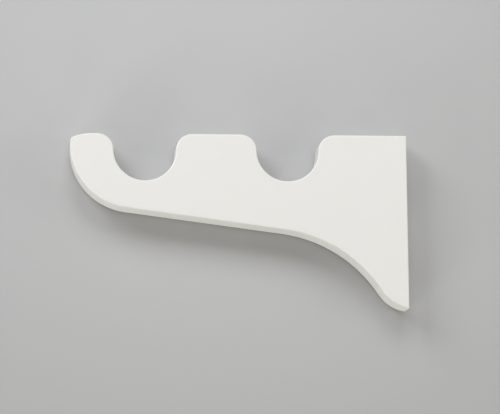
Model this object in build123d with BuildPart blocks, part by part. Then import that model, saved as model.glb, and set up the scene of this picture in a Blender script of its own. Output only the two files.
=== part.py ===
from build123d import *
from math import cos, radians, sin, sqrt, tan
import os

os.makedirs("parts", exist_ok=True)

# Double curtain rod bracket, sawn from one wooden board and painted.
# The wall face lies on the plane X = 0 and is centred on the origin. The arm reaches
# out along -X, the board's thickness lies along Y, and the cups open towards +Z.
# All sizes are in millimetres and all angles in degrees.

# Board
board_thickness = 19.0
ease_radius = 0.8  # sanded arris round both broad faces
corner_radius = 1.0  # broken corner at the top and bottom of the wall face

# Cups for the two poles
cup_radius = 19.0
lip_radius = 9.75  # round-over each side of a cup, from the height of its centre up
rear_cup_reach = 73.0  # wall to the centre of the rear cup
cup_spacing = 87.0

# Arm
nose_overhang = 45.0  # tip beyond the centre of the front cup
nose_radius = 38.5
tip_drop = 2.7  # tip corner below the top line
tip_radius = 2.4
crown_land = 3.25  # flat left between the front cup's lip and the falling crown
web_under_cup = 18.25  # wood left under the front cup
arm_slope = 7.6

# Foot
wall_height = 106.0
foot_radius = 23.0
foot_slope = 8.5  # slope of the foot's underside where it meets the wall face
cove_radius = 84.0

# Keyhole recesses for the two wall screws, head and shank
screw_spacing = 50.0
upper_screw_drop = 23.0  # upper screw's seat below the top line
entry_diameter = 9.5
neck_width = 4.8
neck_travel = 10.0  # entry centre up to the screw's seat
keyhole_lip = 4.8  # wood that the screw head hooks behind
undercut_depth = 4.8

# Heights and reaches that follow from them
top = wall_height / 2
cup_height = top - lip_radius
front_cup_reach = rear_cup_reach + cup_spacing
cup_centres = [(-front_cup_reach, cup_height), (-rear_cup_reach, cup_height)]
lip_reach = cup_radius + lip_radius
tip_x = -front_cup_reach - nose_overhang
crown_x = -front_cup_reach - lip_reach - crown_land

# The straight underside passes below the front cup and falls towards the wall.
fall = tan(radians(arm_slope))
along = Vector(cos(radians(arm_slope)), -sin(radians(arm_slope)))
downward = Vector(-sin(radians(arm_slope)), -cos(radians(arm_slope)))
under_cup = Vector(-front_cup_reach, cup_height - cup_radius - web_under_cup)

# The nose is one round, tangent to the underside and to the upright at the tip.
nose_x = tip_x + nose_radius
nose_z = under_cup.Y - (nose_x - under_cup.X) * fall + nose_radius / cos(radians(arm_slope))
nose_end = Vector(nose_x, nose_z) + downward * nose_radius
tip_z = top - tip_drop
tip = Vector(nose_x - sqrt(nose_radius**2 - (tip_z - nose_z) ** 2), tip_z)

# The cove touches the underside on one side and the round of the foot on the other.
foot_centre = Vector(foot_radius * sin(radians(foot_slope)), -top + foot_radius * cos(radians(foot_slope)))
foot_end = Vector(0, -top)
foot_run = (foot_centre - under_cup).dot(along)
foot_depth = (foot_centre - under_cup).dot(downward)
centre_distance = cove_radius + foot_radius
cove_run = foot_run - sqrt(centre_distance**2 - (cove_radius - foot_depth) ** 2)
cove_start = under_cup + along * cove_run
cove_centre = cove_start + downward * cove_radius
cove_end = cove_centre + (foot_centre - cove_centre) * (cove_radius / centre_distance)

# Keyhole seats, from the top line down
upper_seat = top - upper_screw_drop
seats = [(0, upper_seat), (0, upper_seat - screw_spacing)]
entries = [(y, z - neck_travel) for y, z in seats]
neck_middles = [(y, z - neck_travel / 2) for y, z in seats]

with BuildPart() as bracket:
    # Outline of the board, seen from the side
    with BuildSketch(Plane.XZ) as profile:
        with BuildLine():
            top_line = Line((0, top), (crown_x, top))
            TangentArc(top_line @ 1, tip, tangent=top_line % 1)
            TangentArc(nose_end, tip, tangent=-along)
            underside = Line(nose_end, cove_start)
            cove = TangentArc(underside @ 1, cove_end, tangent=underside % 1)
            TangentArc(cove @ 1, foot_end, tangent=cove % 1)
            Line(foot_end, top_line @ 0)
        make_face()
        tip_corner = profile.vertices().sort_by(Axis.X)[0]
        wall_corners = profile.vertices().group_by(Axis.X)[-1]
        fillet(tip_corner, radius=tip_radius)
        fillet(wall_corners, radius=corner_radius)

        # Cups, with their mouths rounded over into the top line
        with Locations(*cup_centres):
            Circle(cup_radius, mode=Mode.SUBTRACT)
        mouth = sqrt(cup_radius**2 - lip_radius**2)
        mouth_corners = [
            profile.vertices().sort_by_distance((x + side * mouth, top))[0]
            for x, z in cup_centres
            for side in (-1, 1)
        ]
        fillet(mouth_corners, radius=lip_radius)
    extrude(amount=board_thickness / 2, both=True)

    # Sanded arrises round both broad faces
    front_face = bracket.faces().sort_by(Axis.Y)[0]
    back_face = bracket.faces().sort_by(Axis.Y)[-1]
    fillet(front_face.edges() + back_face.edges(), radius=ease_radius)

    # Keyholes: a narrow mouth in the wall face, and a wider slot behind it
    with BuildSketch(Plane.YZ) as keyhole_mouths:
        with Locations(*entries):
            Circle(entry_diameter / 2)
        with Locations(*neck_middles):
            SlotCenterToCenter(neck_travel, neck_width, rotation=90)
    extrude(amount=-keyhole_lip, mode=Mode.SUBTRACT)
    with BuildSketch(Plane.YZ.offset(-keyhole_lip)) as undercuts:
        with Locations(*neck_middles):
            SlotCenterToCenter(neck_travel, entry_diameter, rotation=90)
    extrude(amount=-undercut_depth, mode=Mode.SUBTRACT)

bracket.part.label = "bracket"
export_step(bracket.part, "parts/bracket.step")
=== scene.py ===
import logging
import math
from dataclasses import dataclass, field
from enum import Enum
from typing import Any

import bmesh
import bpy
from mathutils import Matrix, Vector


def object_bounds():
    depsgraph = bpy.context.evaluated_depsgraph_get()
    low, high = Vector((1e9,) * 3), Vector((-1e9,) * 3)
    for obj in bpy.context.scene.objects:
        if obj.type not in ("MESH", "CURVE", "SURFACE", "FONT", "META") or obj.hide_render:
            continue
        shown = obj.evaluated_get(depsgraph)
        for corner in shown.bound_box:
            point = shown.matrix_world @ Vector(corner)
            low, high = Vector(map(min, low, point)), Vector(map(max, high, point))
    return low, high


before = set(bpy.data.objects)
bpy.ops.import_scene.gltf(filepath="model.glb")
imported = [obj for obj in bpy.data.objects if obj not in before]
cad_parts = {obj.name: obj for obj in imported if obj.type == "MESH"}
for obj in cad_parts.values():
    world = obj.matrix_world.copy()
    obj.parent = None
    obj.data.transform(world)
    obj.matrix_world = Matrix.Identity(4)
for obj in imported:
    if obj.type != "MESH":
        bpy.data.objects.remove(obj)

CAD_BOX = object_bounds()
BRACKET = "bracket"
MM = 0.001

Triple = tuple[float, float, float]
Colour = tuple[float, float, float, float]

log = logging.getLogger("bracket")


class RayKind(Enum):
    """Rays that see the studio's own colour, by the output names of the Light Path node."""

    CAMERA = "Is Camera Ray"
    GLOSSY = "Is Glossy Ray"
    TRANSMISSION = "Is Transmission Ray"


class Direction(Enum):
    """Components of a vector, by the output names of the Separate XYZ node."""

    ALONG_ARM = "X"
    THROUGH_BOARD = "Y"
    UPWARDS = "Z"


class SocketKind(Enum):
    """Types of a node group's sockets."""

    NUMBER = "NodeSocketFloat"
    VECTOR = "NodeSocketVector"


def grey(level: float) -> Colour:
    """Gives the opaque grey of a level from 0 to 1."""
    return (level, level, level, 1.0)


@dataclass
class NodeWriter:
    """Adds nodes to one shader tree and joins them.

    Args:
        tree: The material's, world's or group's node tree.
    """

    tree: bpy.types.NodeTree

    def add(self, kind: str, **settings: Any) -> bpy.types.Node:
        """Adds a node.

        Args:
            kind: The node's type, such as ShaderNodeMath.
            settings: Properties of the node, by name.

        Returns:
            The new node.
        """
        node = self.tree.nodes.new(kind)
        for name, value in settings.items():
            setattr(node, name, value)
        return node

    def feed(self, socket: bpy.types.NodeSocket, value: Any) -> None:
        """Joins a socket to another one, or sets its plain value.

        Args:
            socket: The input to fill.
            value: An output socket, a number or a tuple.
        """
        if isinstance(value, bpy.types.NodeSocket):
            self.tree.links.new(value, socket)
        else:
            socket.default_value = value

    def feed_named(self, node: bpy.types.Node, values: dict[str, Any]) -> None:
        """Fills some of a node's inputs.

        Args:
            node: The node.
            values: Sockets, numbers or tuples, by the inputs' names.
        """
        for name, value in values.items():
            self.feed(node.inputs[name], value)

    def math(self, operation: str, *values: Any, clamp: bool = False) -> bpy.types.NodeSocket:
        """Adds a Math node.

        Args:
            operation: The operation's name, such as MULTIPLY.
            values: Numbers or sockets, in the node's own order.
            clamp: Whether the result is kept from 0 to 1.

        Returns:
            The result.
        """
        node = self.add("ShaderNodeMath", operation=operation, use_clamp=clamp)
        for socket, value in zip(node.inputs, values):
            self.feed(socket, value)
        return node.outputs[0]

    def step(
        self, value: Any, low: float, high: float, first: float = 0.0, last: float = 1.0
    ) -> bpy.types.NodeSocket:
        """Adds a smooth step from one value to another.

        Args:
            value: What is compared.
            low: Where the step starts.
            high: Where the step ends.
            first: The result below the step.
            last: The result above it.

        Returns:
            The stepped value.
        """
        node = self.add("ShaderNodeMapRange", interpolation_type="SMOOTHSTEP")
        self.feed_named(node, {"Value": value, "From Min": low, "From Max": high})
        self.feed_named(node, {"To Min": first, "To Max": last})
        return node.outputs["Result"]

    def noise(
        self, where: Any, scale: Any, detail: float = 2.0, roughness: float = 0.5
    ) -> bpy.types.NodeSocket:
        """Adds a Noise texture.

        Args:
            where: The coordinates.
            scale: Features in each unit of the coordinates.
            detail: Number of octaves.
            roughness: Share that each octave keeps.

        Returns:
            The noise, from 0 to 1.
        """
        node = self.add("ShaderNodeTexNoise")
        self.feed_named(node, {"Vector": where, "Scale": scale})
        self.feed_named(node, {"Detail": detail, "Roughness": roughness})
        return node.outputs["Fac"]

    def stretch(self, where: Any, scale: Triple) -> bpy.types.NodeSocket:
        """Scales coordinates unevenly, so that a pattern runs along one direction.

        Args:
            where: The coordinates.
            scale: A factor for each axis.

        Returns:
            The scaled coordinates.
        """
        node = self.add("ShaderNodeVectorMath", operation="MULTIPLY")
        self.feed(node.inputs[0], where)
        self.feed(node.inputs[1], scale)
        return node.outputs[0]

    def separate(self, vector: Any) -> dict[Direction, bpy.types.NodeSocket]:
        """Splits a vector into its components.

        Args:
            vector: The vector.

        Returns:
            The components, by direction.
        """
        node = self.add("ShaderNodeSeparateXYZ")
        self.feed(node.inputs[0], vector)
        return {direction: node.outputs[direction.value] for direction in Direction}

    def mix(self, share: Any, first: Any, second: Any) -> bpy.types.NodeSocket:
        """Mixes two colours.

        Args:
            share: How much of the second colour shows.
            first: The colour at 0.
            second: The colour at 1.

        Returns:
            The mixed colour.
        """
        node = self.add("ShaderNodeMix", data_type="RGBA")
        # The node keeps a pair of inputs for each data type, and the third pair is the colours'.
        factor, colour_1, colour_2 = node.inputs[0], node.inputs[6], node.inputs[7]
        self.feed(factor, share)
        self.feed(colour_1, first)
        self.feed(colour_2, second)
        return node.outputs[2]

    def group(self, tree: bpy.types.NodeTree, **values: Any) -> bpy.types.Node:
        """Places a node group with its own values.

        Args:
            tree: The group.
            values: Its inputs, by name.

        Returns:
            The group's node.
        """
        node = self.add("ShaderNodeGroup", node_tree=tree)
        self.feed_named(node, values)
        return node


def new_group(
    name: str, inputs: dict[str, SocketKind], outputs: dict[str, SocketKind]
) -> tuple[NodeWriter, Any, Any]:
    """Starts a shader node group.

    Args:
        name: The group's name.
        inputs: Types of the inputs, by name.
        outputs: Types of the outputs, by name.

    Returns:
        The writer, the group's inputs and its outputs.
    """
    tree = bpy.data.node_groups.new(name, "ShaderNodeTree")
    for direction, sockets in (("INPUT", inputs), ("OUTPUT", outputs)):
        for socket, kind in sockets.items():
            tree.interface.new_socket(socket, in_out=direction, socket_type=kind.value)
    writer = NodeWriter(tree)
    return writer, writer.add("NodeGroupInput").outputs, writer.add("NodeGroupOutput").inputs


@dataclass(frozen=True)
class WoodGrain:
    """Wood that grows along the arm: long streaks, and pores where it is cut across.

    Args:
        bends_per_metre: How often the streaks bend, for each axis.
        bend_reach: How far a bend moves a streak, in metres, for each axis.
        streak_squeeze: Factors on the coordinates that draw the streaks out along the arm.
        streak_detail: Number of octaves in the streaks.
        streak_roughness: Share that each of them keeps.
        streak_range: Values of the noise where a streak starts and where it is full.
        pore_squeeze: Factors on the coordinates that draw the pores out along the arm.
        pore_detail: Number of octaves in the pores.
        pore_range: Values of the noise where a pore starts and where it is full.
    """

    bends_per_metre: Triple = (14.0, 60.0, 60.0)
    bend_reach: Triple = (0.0, 2.0 * MM, 3.0 * MM)
    streak_squeeze: Triple = (0.035, 1.0, 1.0)
    streak_detail: float = 5.0
    streak_roughness: float = 0.62
    streak_range: tuple[float, float] = (0.3, 0.7)
    pore_squeeze: Triple = (0.12, 1.0, 1.0)
    pore_detail: float = 1.5
    pore_range: tuple[float, float] = (0.56, 0.7)

    def build(self) -> bpy.types.NodeTree:
        """Builds the node group.

        Returns:
            A group that gives the streaks and the pores.
        """
        nodes, given, result = new_group(
            "wood_grain",
            {"Vector": SocketKind.VECTOR, "Streaks": SocketKind.NUMBER, "Pores": SocketKind.NUMBER},
            {"Streak": SocketKind.NUMBER, "Pore": SocketKind.NUMBER},
        )
        place = given["Vector"]
        bends = nodes.noise(nodes.stretch(place, self.bends_per_metre), 1.0)
        bent = nodes.add("ShaderNodeVectorMath", operation="MULTIPLY_ADD")
        nodes.feed(bent.inputs[0], bends)
        nodes.feed(bent.inputs[1], self.bend_reach)
        nodes.feed(bent.inputs[2], nodes.stretch(place, self.streak_squeeze))
        streak = nodes.noise(
            bent.outputs[0], given["Streaks"], self.streak_detail, self.streak_roughness
        )
        nodes.feed(result["Streak"], nodes.step(streak, *self.streak_range))
        spots = nodes.stretch(place, self.pore_squeeze)
        pore = nodes.noise(spots, given["Pores"], self.pore_detail)
        nodes.feed(result["Pore"], nodes.step(pore, *self.pore_range))
        return nodes.tree


@dataclass(frozen=True)
class PaintFilm:
    """The film of a brushed and rolled coat of paint.

    Args:
        peel_detail: Number of octaves in the film's height.
        peel_roughness: Share that each of them keeps.
        mottle_detail: Number of octaves in its slow change of tone.
    """

    peel_detail: float = 2.5
    peel_roughness: float = 0.55
    mottle_detail: float = 3.0

    def build(self) -> bpy.types.NodeTree:
        """Builds the node group.

        Returns:
            A group that gives the film's height and its slow change of tone.
        """
        nodes, given, result = new_group(
            "paint_film",
            {"Vector": SocketKind.VECTOR, "Peel": SocketKind.NUMBER, "Mottle": SocketKind.NUMBER},
            {"Height": SocketKind.NUMBER, "Tone": SocketKind.NUMBER},
        )
        place = given["Vector"]
        height = nodes.noise(place, given["Peel"], self.peel_detail, self.peel_roughness)
        nodes.feed(result["Height"], height)
        nodes.feed(result["Tone"], nodes.noise(place, given["Mottle"], self.mottle_detail))
        return nodes.tree


@dataclass(frozen=True)
class PaintedWood:
    """Satin white paint over sanded wood, with raw wood inside the routed recesses.

    The paint lies smooth on the broad faces. On the sawn edges the grain shows through it,
    as fine streaks along the arm and as pores where it is cut across.

    Args:
        paint: The paint's colour.
        paint_in_pores: Its colour where it has sunk into a pore.
        wood_pale: The raw wood between its streaks.
        wood_dark: The raw wood in its streaks.
        grain: The wood's grain.
        film: The film of paint.
        face_roughness: Roughness of the broad faces.
        edge_roughness: Roughness of the painted sawn edges.
        wood_roughness: Roughness of the raw wood.
        roughness_spread: How far the film's tone moves the roughness up and down.
        peel_per_metre: Dimples of the film in each metre.
        mottle_per_metre: Patches of its tone in each metre.
        streaks_per_metre: Streaks in each metre across the grain.
        pores_per_metre: Pores in each metre across the grain.
        tone_range: Values of the tone where a darker patch starts and where it is full.
        patch_share: How much of the sunk colour shows in a full patch.
        pore_share: How much of it shows in a pore on a sawn edge.
        edge_range: Sideways part of the normal where a sawn edge ends and where a face starts.
        relief: Height that the bumps below are shares of, in metres.
        film_bump: Bump of the film.
        streak_bump: Bump of a streak on the broad faces and on bare or sawn wood.
        pore_bump: Bump of a pore on bare or sawn wood.
        raw_range: Depth from the wall face where the paint thins out and where it ends.
        recess_depth: Depth of the recesses, in metres.
        recess_half_width: Half the width of the space that holds them.
        recess_half_height: Half the height of that space.
    """

    paint: Colour = (0.815, 0.806, 0.775, 1.0)
    paint_in_pores: Colour = (0.70, 0.685, 0.645, 1.0)
    wood_pale: Colour = (0.62, 0.42, 0.235, 1.0)
    wood_dark: Colour = (0.36, 0.20, 0.095, 1.0)
    grain: WoodGrain = field(default_factory=WoodGrain)
    film: PaintFilm = field(default_factory=PaintFilm)
    face_roughness: float = 0.42
    edge_roughness: float = 0.52
    wood_roughness: float = 0.78
    roughness_spread: float = 0.05
    peel_per_metre: float = 900.0
    mottle_per_metre: float = 55.0
    streaks_per_metre: float = 900.0
    pores_per_metre: float = 1500.0
    tone_range: tuple[float, float] = (0.2, 0.8)
    patch_share: float = 0.10
    pore_share: float = 0.55
    edge_range: tuple[float, float] = (0.25, 0.8)
    relief: float = 0.12 * MM
    film_bump: float = 0.45
    streak_bump: tuple[float, float] = (0.12, 0.55)
    pore_bump: float = -0.9
    raw_range: tuple[float, float] = (0.4 * MM, 1.6 * MM)
    recess_depth: float = 10.2 * MM
    recess_half_width: float = 5.6 * MM
    recess_half_height: float = 42.0 * MM

    def build(self) -> bpy.types.Material:
        """Builds the material.

        Returns:
            The material, with every pattern in object coordinates.
        """
        material = bpy.data.materials.new("painted_wood")
        material.use_nodes = True
        nodes = NodeWriter(material.node_tree)
        shader = material.node_tree.nodes["Principled BSDF"]
        texture = nodes.add("ShaderNodeTexCoord").outputs
        place = texture["Object"]
        grain = nodes.group(
            self.grain.build(),
            Vector=place,
            Streaks=self.streaks_per_metre,
            Pores=self.pores_per_metre,
        ).outputs
        film = nodes.group(
            self.film.build(),
            Vector=place,
            Peel=self.peel_per_metre,
            Mottle=self.mottle_per_metre,
        ).outputs
        edge = self.sawn_edge(nodes, texture["Normal"])
        raw = self.recess(nodes, place)
        sunk = nodes.math("MULTIPLY", nodes.math("MULTIPLY", edge, grain["Pore"]), self.pore_share)
        painted = nodes.mix(sunk, self.paint, self.paint_in_pores)
        patch = nodes.step(film["Tone"], *self.tone_range, 0.0, self.patch_share)
        painted = nodes.mix(patch, painted, self.paint_in_pores)
        bare = nodes.mix(grain["Streak"], self.wood_pale, self.wood_dark)
        nodes.feed_named(shader, {
            "Base Color": nodes.mix(raw, painted, bare),
            "Roughness": self.roughness(nodes, edge, raw, film["Tone"]),
            "Normal": self.surface_normal(nodes, edge, raw, film["Height"], grain),
        })
        return material

    def sawn_edge(
        self, nodes: NodeWriter, normal: bpy.types.NodeSocket
    ) -> bpy.types.NodeSocket:
        """Finds the sawn edges.

        Args:
            nodes: The material's writer.
            normal: The normal in object coordinates.

        Returns:
            0 on the broad faces and 1 on the edges.
        """
        sideways = nodes.math("ABSOLUTE", nodes.separate(normal)[Direction.THROUGH_BOARD])
        return nodes.step(sideways, *self.edge_range, 1.0, 0.0)

    def recess(self, nodes: NodeWriter, place: bpy.types.NodeSocket) -> bpy.types.NodeSocket:
        """Finds the unpainted walls inside the recesses of the wall face.

        Args:
            nodes: The material's writer.
            place: Object coordinates.

        Returns:
            1 inside the recesses and 0 elsewhere.
        """
        parts = nodes.separate(place)
        depth = nodes.math("MULTIPLY", parts[Direction.ALONG_ARM], -1.0)
        across = nodes.math("ABSOLUTE", parts[Direction.THROUGH_BOARD])
        height = nodes.math("ABSOLUTE", parts[Direction.UPWARDS])
        shallow = nodes.math("LESS_THAN", depth, self.recess_depth)
        narrow = nodes.math("LESS_THAN", across, self.recess_half_width)
        between = nodes.math("LESS_THAN", height, self.recess_half_height)
        inside = nodes.math("MULTIPLY", nodes.step(depth, *self.raw_range), shallow)
        return nodes.math("MULTIPLY", inside, nodes.math("MULTIPLY", narrow, between))

    def roughness(self, nodes: NodeWriter, edge: Any, raw: Any, tone: Any) -> bpy.types.NodeSocket:
        """Works out the roughness.

        Args:
            nodes: The material's writer.
            edge: The mask of the sawn edges.
            raw: The mask of the unpainted wood.
            tone: The slow change over the film.

        Returns:
            The roughness.
        """
        painted = nodes.step(edge, 0.0, 1.0, self.face_roughness, self.edge_roughness)
        spread = nodes.step(tone, *self.tone_range, -self.roughness_spread, self.roughness_spread)
        varied = nodes.math("ADD", painted, spread)
        gap = nodes.math("SUBTRACT", self.wood_roughness, varied)
        return nodes.math("MULTIPLY_ADD", raw, gap, varied)

    def surface_normal(
        self, nodes: NodeWriter, edge: Any, raw: Any, film: Any, grain: Any
    ) -> bpy.types.NodeSocket:
        """Bumps the surface with the film and with the grain below it.

        Args:
            nodes: The material's writer.
            edge: The mask of the sawn edges.
            raw: The mask of the unpainted wood.
            film: The film's height.
            grain: The grain group's outputs.

        Returns:
            The bumped normal.
        """
        open_grain = nodes.math("MAXIMUM", edge, raw)
        streak_share = nodes.step(open_grain, 0.0, 1.0, *self.streak_bump)
        streaks = nodes.math("MULTIPLY", grain["Streak"], streak_share)
        pore_share = nodes.math("MULTIPLY", open_grain, self.pore_bump)
        pores = nodes.math("MULTIPLY", grain["Pore"], pore_share)
        height = nodes.math("ADD", nodes.math("MULTIPLY_ADD", film, self.film_bump, streaks), pores)
        bump = nodes.add("ShaderNodeBump")
        nodes.feed_named(bump, {"Strength": 1.0, "Distance": self.relief, "Height": height})
        return bump.outputs["Normal"]


def sees_studio(nodes: NodeWriter) -> bpy.types.NodeSocket:
    """Tells the rays that see the studio from those that only carry light.

    Args:
        nodes: The tree's writer.

    Returns:
        1 for a camera, glossy or transmission ray, and 0 for others.
    """
    path = nodes.add("ShaderNodeLightPath").outputs
    seen: Any = 0.0
    for kind in RayKind:
        seen = nodes.math("ADD", seen, path[kind.value], clamp=True)
    return seen


@dataclass(frozen=True)
class StudioPaper:
    """Plain grey paper with a painted pool of light, lightest above the bracket, that shows from
    its front only.

    Far from the bracket it is an even grey, whatever light falls there. Seen from behind, it
    isn't there for the light either, so the bracket's back face is lit too.

    Args:
        name: The material's name.
        colour: The colour at the middle of the painted pool of light, where the paper is lightest.
        painted_falloff_colour: The darker colour where the painted light has faded out.
        painted_light_centre: The middle of the painted pool of light.
        painted_light_radius: How far from that point the painted light fades out, in metres.
        even_from: How far from it the even grey starts.
        even_to: How far from it nothing else shows.
        even_grey: The even grey.
        roughness: The paper's roughness.
        specular: The strength of its sheen.
        blocks_light: Whether it stops light that comes from its front.
        first_sheet: A ray whose count of passed sheets is below this has passed none.
    """

    name: str = "wall_paper"
    # The colours and the fade below are painted light: a pool of light painted on the paper,
    # lightest above the bracket.
    colour: Colour = grey(0.53)
    painted_falloff_colour: Colour = grey(0.425)
    painted_light_centre: Triple = (-0.105, 0.0, 0.1)
    painted_light_radius: float = 0.42
    even_from: float = 0.4
    even_to: float = 0.9
    even_grey: Colour = grey(0.45)
    roughness: float = 0.95
    specular: float = 0.1
    blocks_light: bool = True
    first_sheet: float = 0.5

    def build(self) -> bpy.types.Material:
        """Builds the material.

        Returns:
            The material.
        """
        material = bpy.data.materials.new(self.name)
        material.use_nodes = True
        nodes = NodeWriter(material.node_tree)
        paper = material.node_tree.nodes["Principled BSDF"]
        distance = nodes.add("ShaderNodeVectorMath", operation="DISTANCE")
        nodes.feed(distance.inputs[0], nodes.add("ShaderNodeTexCoord").outputs["Object"])
        nodes.feed(distance.inputs[1], self.painted_light_centre)
        away = distance.outputs["Value"]
        # Painted light: the paper's colour is lighter near the bracket and fades to a darker grey
        # farther out.
        painted_light_colour = nodes.mix(nodes.step(away, 0.0, self.painted_light_radius), self.colour, self.painted_falloff_colour)
        nodes.feed_named(paper, {
            "Base Color": painted_light_colour,
            "Roughness": self.roughness,
            "Specular IOR Level": self.specular,
        })
        even = nodes.add("ShaderNodeEmission")
        nodes.feed(even.inputs["Color"], self.even_grey)
        sheet = self.blend(nodes, nodes.step(away, self.even_from, self.even_to), paper, even)
        behind = nodes.add("ShaderNodeNewGeometry").outputs["Backfacing"]
        in_front = nodes.math("SUBTRACT", 1.0, behind)
        shows = nodes.math("MULTIPLY", self.stops_ray(nodes), in_front)
        shown = self.blend(nodes, shows, nodes.add("ShaderNodeBsdfTransparent"), sheet)
        output = material.node_tree.nodes["Material Output"]
        nodes.feed(output.inputs["Surface"], shown.outputs[0])
        return material

    def stops_ray(self, nodes: NodeWriter) -> bpy.types.NodeSocket:
        """Tells the rays that meet the paper from those that pass it.

        A ray that has come through a sheet from behind passes every sheet after it, unless it
        comes straight from the camera.

        Args:
            nodes: The material's writer.

        Returns:
            1 for a ray that meets the paper, and 0 for others.
        """
        if not self.blocks_light:
            return sees_studio(nodes)
        path = nodes.add("ShaderNodeLightPath").outputs
        fresh = nodes.math("LESS_THAN", path["Transparent Depth"], self.first_sheet)
        return nodes.math("MAXIMUM", path[RayKind.CAMERA.value], fresh)

    def blend(
        self, nodes: NodeWriter, share: Any, first: bpy.types.Node, second: bpy.types.Node
    ) -> bpy.types.Node:
        """Mixes two shaders.

        Args:
            nodes: The material's writer.
            share: How much of the second one shows.
            first: The shader at 0.
            second: The shader at 1.

        Returns:
            The mixing node.
        """
        node = nodes.add("ShaderNodeMixShader")
        for socket, value in zip(node.inputs, (share, first.outputs[0], second.outputs[0])):
            nodes.feed(socket, value)
        return node


@dataclass
class Board:
    """The bracket itself: one shaped board.

    Args:
        finish: What it is painted with.
    """

    finish: PaintedWood = field(default_factory=PaintedWood)

    def dress(self) -> bpy.types.Object:
        """Paints the board.

        Returns:
            The board's object.
        """
        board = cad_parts[BRACKET]
        board.data.materials.clear()
        board.data.materials.append(self.finish.build())
        return board


@dataclass
class Studio:
    """Paper behind the bracket and a floor below it, joined by a sweep. Lengths are in metres.

    Args:
        wall: The wall paper's finish.
        ground: The finish of the sweep and the floor, which let light through.
        gap: Room between the board's back face and the paper.
        reach: How far the paper runs each way.
        floor_drop: How far the floor lies below the centre of the wall face.
        bend: Radius of the sweep from the wall to the floor.
        bend_steps: Flat strips in the sweep.
    """

    wall: StudioPaper = field(default_factory=StudioPaper)
    ground: StudioPaper = field(
        default_factory=lambda: StudioPaper("floor_paper", blocks_light=False)
    )
    gap: float = 1.0 * MM
    reach: float = 4.0
    floor_drop: float = 0.42
    bend: float = 0.2
    bend_steps: int = 24

    def build(self) -> list[bpy.types.Object]:
        """Builds the paper.

        Returns:
            The backdrop and the floor.
        """
        behind = CAD_BOX[1].y + self.gap
        sweep = []
        for step in range(self.bend_steps + 1):
            turn = math.pi / 2 * step / self.bend_steps
            sweep.append((
                behind - self.bend * (1 - math.cos(turn)),
                self.bend * (1 - math.sin(turn)) - self.floor_drop,
            ))
        hanging = [(behind, self.reach), sweep[0]]
        lying = sweep + [(-self.reach, -self.floor_drop)]
        backdrop = self.strip("backdrop", hanging, self.wall.build())
        floor = self.strip("floor", lying, self.ground.build())
        return [backdrop, floor]

    def strip(
        self, name: str, outline: list[tuple[float, float]], finish: bpy.types.Material
    ) -> bpy.types.Object:
        """Draws an outline out along X into a sheet.

        Args:
            name: The sheet's name.
            outline: Its points, as depth and height.
            finish: Its material.

        Returns:
            The sheet.
        """
        mesh = bpy.data.meshes.new(name)
        shape = bmesh.new()
        sides = (-self.reach, self.reach)
        rows = [[shape.verts.new((x, y, z)) for x in sides] for y, z in outline]
        for upper, lower in zip(rows, rows[1:]):
            shape.faces.new((upper[0], lower[0], lower[1], upper[1])).smooth = True
        shape.to_mesh(mesh)
        shape.free()
        mesh.materials.append(finish)
        sheet = bpy.data.objects.new(name, mesh)
        bpy.context.scene.collection.objects.link(sheet)
        return sheet


@dataclass
class SoftBox:
    """One square soft light, aimed at the bracket's middle.

    Args:
        name: The lamp's name.
        clock: Where it stands round the bracket as the photo shows it, in degrees from the
            top, clockwise.
        lean: Degrees between its light and the way straight at the broad face. Past 90 it
            stands behind the wall.
        power: Its power in watts.
        colour: Its colour.
        distance: How far it stands away, in metres.
        side: Its width and height, in metres.
    """

    name: str
    clock: float
    lean: float
    power: float
    colour: Triple = (1.0, 1.0, 1.0)
    distance: float = 1.6
    side: float = 0.75

    def build(self, target: Vector) -> bpy.types.Object:
        """Builds the lamp, which the camera itself doesn't see.

        Args:
            target: The point that it faces.

        Returns:
            The lamp.
        """
        clock, lean = math.radians(self.clock), math.radians(self.lean)
        right, up = math.sin(clock), math.cos(clock)
        away = Vector((math.sin(lean) * right, -math.cos(lean), math.sin(lean) * up))
        light = bpy.data.lights.new(self.name, "AREA")
        light.shape = "SQUARE"
        light.size = self.side
        light.energy = self.power
        light.color = self.colour
        lamp = bpy.data.objects.new(self.name, light)
        bpy.context.scene.collection.objects.link(lamp)
        lamp.location = target + away * self.distance
        lamp.rotation_euler = (-away).to_track_quat("-Z", "Y").to_euler()
        lamp.visible_camera = False
        return lamp


@dataclass
class Sky:
    """The even light round the bracket.

    Args:
        light: Radiance that reaches the bracket.
        shown: Colour that the camera sees past the paper.
    """

    light: Colour = (0.218, 0.213, 0.194, 1.0)
    shown: Colour = grey(0.45)

    def build(self) -> bpy.types.World:
        """Builds the world.

        Returns:
            The world.
        """
        world = bpy.data.worlds.new("studio")
        world.use_nodes = True
        nodes = NodeWriter(world.node_tree)
        colour = nodes.mix(sees_studio(nodes), self.light, self.shown)
        nodes.feed(world.node_tree.nodes["Background"].inputs["Color"], colour)
        bpy.context.scene.world = world
        return world


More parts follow.
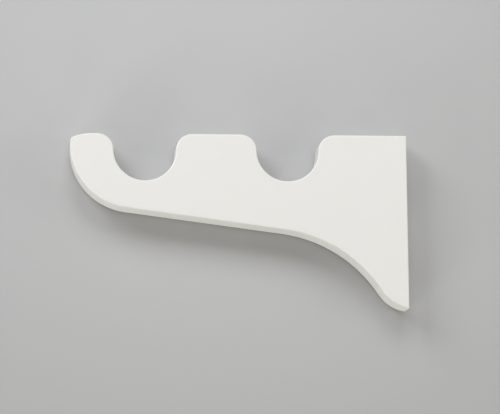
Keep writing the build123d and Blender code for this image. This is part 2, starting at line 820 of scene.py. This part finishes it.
@dataclass
class PhotoCamera:
    """The camera at the photograph's viewing angle.

    Args:
        distance: Camera to the point that it looks at, in metres.
        azimuth: Degrees round from straight on, positive towards the wall side.
        elevation: Degrees above the level of that point.
        roll: Degrees that the camera is turned about its own axis.
        focal_pixels: Focal length in pixels of the photograph's frame.
        frame_width: Width of that frame in pixels.
        sensor_width: Width of the sensor in millimetres.
        shift: Lens shift, right and up, as shares of the frame's width.
        aim: The point that it looks at.
    """

    distance: float = 1.5
    azimuth: float = -5.13
    elevation: float = -8.65
    roll: float = -0.448
    focal_pixels: float = 2470.1
    frame_width: float = 500.0
    sensor_width: float = 36.0
    shift: tuple[float, float] = (0.06, 0.06)
    aim: Triple = (-0.1139, 0.0, -0.00875)

    def build(self) -> bpy.types.Object:
        """Builds the camera.

        Returns:
            The camera, made the scene's own.
        """
        turn, rise = math.radians(self.azimuth), math.radians(self.elevation)
        level = math.cos(rise)
        back = Vector((math.sin(turn) * level, -math.cos(turn) * level, math.sin(rise)))
        lens = bpy.data.cameras.new("photo_camera")
        lens.sensor_width = self.sensor_width
        lens.lens = self.focal_pixels / self.frame_width * self.sensor_width
        lens.shift_x, lens.shift_y = self.shift
        camera = bpy.data.objects.new("photo_camera", lens)
        bpy.context.scene.collection.objects.link(camera)
        place = Matrix.Translation(Vector(self.aim) + back * self.distance)
        facing = (-back).to_track_quat("-Z", "Y").to_matrix().to_4x4()
        camera.matrix_world = place @ facing @ Matrix.Rotation(math.radians(self.roll), 4, "Z")
        bpy.context.scene.camera = camera
        return camera


# Tints of the lamps, as factors on white light
WARM = (1.01, 1.0, 0.97)
COOL = (0.975, 0.99, 1.035)

LAMPS = (
    SoftBox("over", clock=0.0, lean=44.0, power=9.4, colour=COOL),
    SoftBox("upper_left", clock=315.0, lean=58.0, power=12.1, colour=COOL),
    SoftBox("upper_right", clock=45.0, lean=58.0, power=2.5),
    SoftBox("right", clock=90.0, lean=70.0, power=5.6, colour=WARM),
    SoftBox("lower_right", clock=135.0, lean=58.0, power=2.7, colour=WARM),
    SoftBox("below", clock=180.0, lean=79.5, power=4.1, colour=WARM, side=0.6),
    SoftBox("lower_left", clock=225.0, lean=79.5, power=8.7, colour=WARM, side=0.6),
    SoftBox("low_front", clock=225.0, lean=44.0, power=1.5, colour=WARM),
    SoftBox("rear", clock=20.0, lean=160.0, power=15.0),
)


def main() -> None:
    """Builds the whole scene in order."""
    logging.basicConfig(level=logging.INFO, format="%(message)s")
    bpy.context.scene.view_settings.view_transform = "Standard"
    board = Board().dress()
    log.info("dressed %s", board.name)
    for sheet in Studio().build():
        log.info("hung %s", sheet.name)
    middle = (CAD_BOX[0] + CAD_BOX[1]) / 2
    for lamp in LAMPS:
        log.info("lit %s", lamp.build(middle).name)
    log.info("filled with %s", Sky().build().name)
    log.info("placed %s", PhotoCamera().build().name)


if __name__ == "__main__":
    main()
